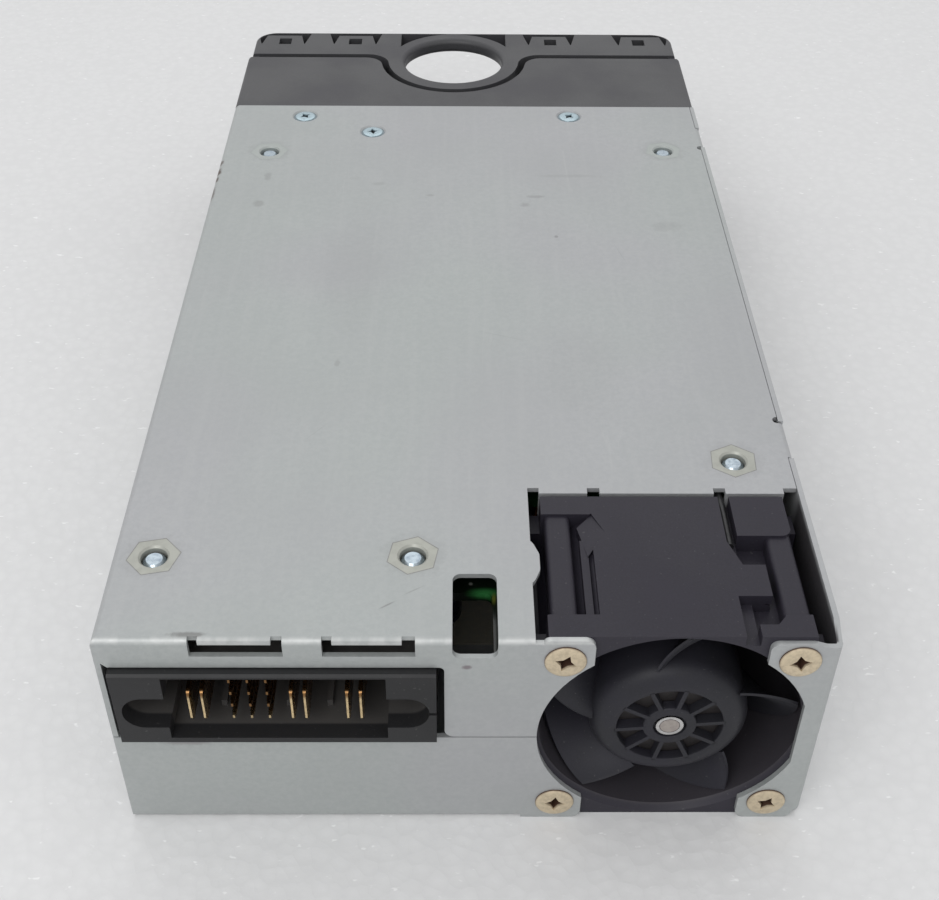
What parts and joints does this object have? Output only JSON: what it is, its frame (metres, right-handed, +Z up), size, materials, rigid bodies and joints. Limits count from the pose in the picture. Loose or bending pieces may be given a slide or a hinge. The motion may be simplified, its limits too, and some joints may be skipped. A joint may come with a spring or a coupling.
{
  "type": "hot swap server power supply",
  "caption": "Slim hot swap server power supply: folded steel case, rear fan and DC connector, black bezel with finger ring, AC inlet, grille and side latch.",
  "frame": {"origin": "centre of the footprint, on the surface the unit lies on", "axes": "+Z up out of the board's tray, +Y from the rear face with the fan and the DC connector towards the bezel, +X right"},
  "size_m": [0.1034, 0.1973, 0.04],
  "materials": {
    "sheet_steel": "galvanised sheet, satin, faint rolling grain",
    "bezel_plastic": "fine moulded texture",
    "grille_steel": "black coated, pierced",
    "inlet_plastic": "moulded",
    "plated_contact": "thin gold plating",
    "nickel_pin": "nickel plated",
    "light_pipe": "clear acrylic",
    "latch_plastic": "moulded, ribbed thumb tab",
    "spring_steel": "spring steel",
    "fan_plastic": "glass filled, satin",
    "rotor_plastic": "satin moulding",
    "bush_brass": "turned",
    "shaft_steel": "ground",
    "yoke_steel": "drawn cup",
    "magnet_ferrite": "bonded ferrite",
    "copper_winding": "enamelled copper",
    "laminated_core": "stacked laminations",
    "green_board": "solder mask",
    "lead_sleeve": "vinyl sleeve",
    "wire_sleeve": "vinyl sleeve",
    "header_plastic": "natural nylon",
    "yellow_zinc": "yellow zinc plated steel",
    "blue_zinc": "blue zinc plated steel",
    "connector_plastic": "glass filled",
    "clear_film": "polyester film",
    "standoff_steel": "zinc plated, slightly yellow",
    "capacitor_sleeve": "shrink sleeve",
    "film_box": "moulded box",
    "ferrite": "sintered",
    "winding_tape": "polyester tape",
    "toroid_coat": "powder coat",
    "heatsink_aluminium": "extruded",
    "package_epoxy": "moulded epoxy",
    "fuse_ceramic": "ceramic",
    "relay_box": "moulded"
  },
  "bodies": {
    "power_supply": {"chassis_tray": "sheet_steel", "chassis_cover": "sheet_steel", "bezel_housing": "bezel_plastic", "front_frame": "bezel_plastic", "exhaust_grille": "grille_steel", "ac_inlet_body": "inlet_plastic", "ac_inlet_pins": "nickel_pin", "inlet_wires": "wire_sleeve", "status_light_pipes": "light_pipe", "latch_pivot_pin": "shaft_steel", "latch_spring": "spring_steel", "fan_frame": "fan_plastic", "fan_bearings": "shaft_steel", "fan_stator_core": "laminated_core", "fan_coils": "copper_winding", "fan_circuit_board": "green_board", "fan_lead": "lead_sleeve", "fan_header": "header_plastic", "fan_screws": "yellow_zinc", "connector_housing": "connector_plastic", "connector_power_blades": "plated_contact", "connector_signal_pins": "plated_contact", "main_board": "green_board", "insulator_sheet": "clear_film", "board_standoffs": "standoff_steel", "board_screws": "blue_zinc", "chassis_screws": "blue_zinc", "bulk_capacitors": "capacitor_sleeve", "output_capacitors": "capacitor_sleeve", "film_capacitors": "film_box", "transformer_core": "ferrite", "transformer_winding": "winding_tape", "choke_core": "toroid_coat", "choke_winding": "copper_winding", "emi_choke_core": "toroid_coat", "emi_choke_winding": "copper_winding", "primary_heatsink": "heatsink_aluminium", "secondary_heatsink": "heatsink_aluminium", "power_transistors": "package_epoxy", "bridge_rectifier": "package_epoxy", "fuse": "fuse_ceramic", "relay": "relay_box", "control_card": "green_board"},
    "fan_rotor": {"fan_impeller": "rotor_plastic", "fan_hub_bush": "bush_brass", "fan_shaft": "shaft_steel", "fan_yoke": "yoke_steel", "fan_magnet": "magnet_ferrite"},
    "latch": {"release_latch": "latch_plastic"}
  },
  "joints": [
    {"name": "fan_spin", "type": "hinge", "parent": "power_supply", "child": "fan_rotor", "pos_m": [0.02925, -0.086, 0.02], "axis": [0, 1, 0], "continuous": true},
    {"name": "latch_release", "type": "hinge", "parent": "power_supply", "child": "latch", "pos_m": [0.04575, 0.062, 0.02], "axis": [0, 0, 1], "range_deg": [0, 8], "stiffness_Nm_per_rad": 0.3, "springref_deg": -8.59, "deforming": ["latch_spring"]}
  ]
}
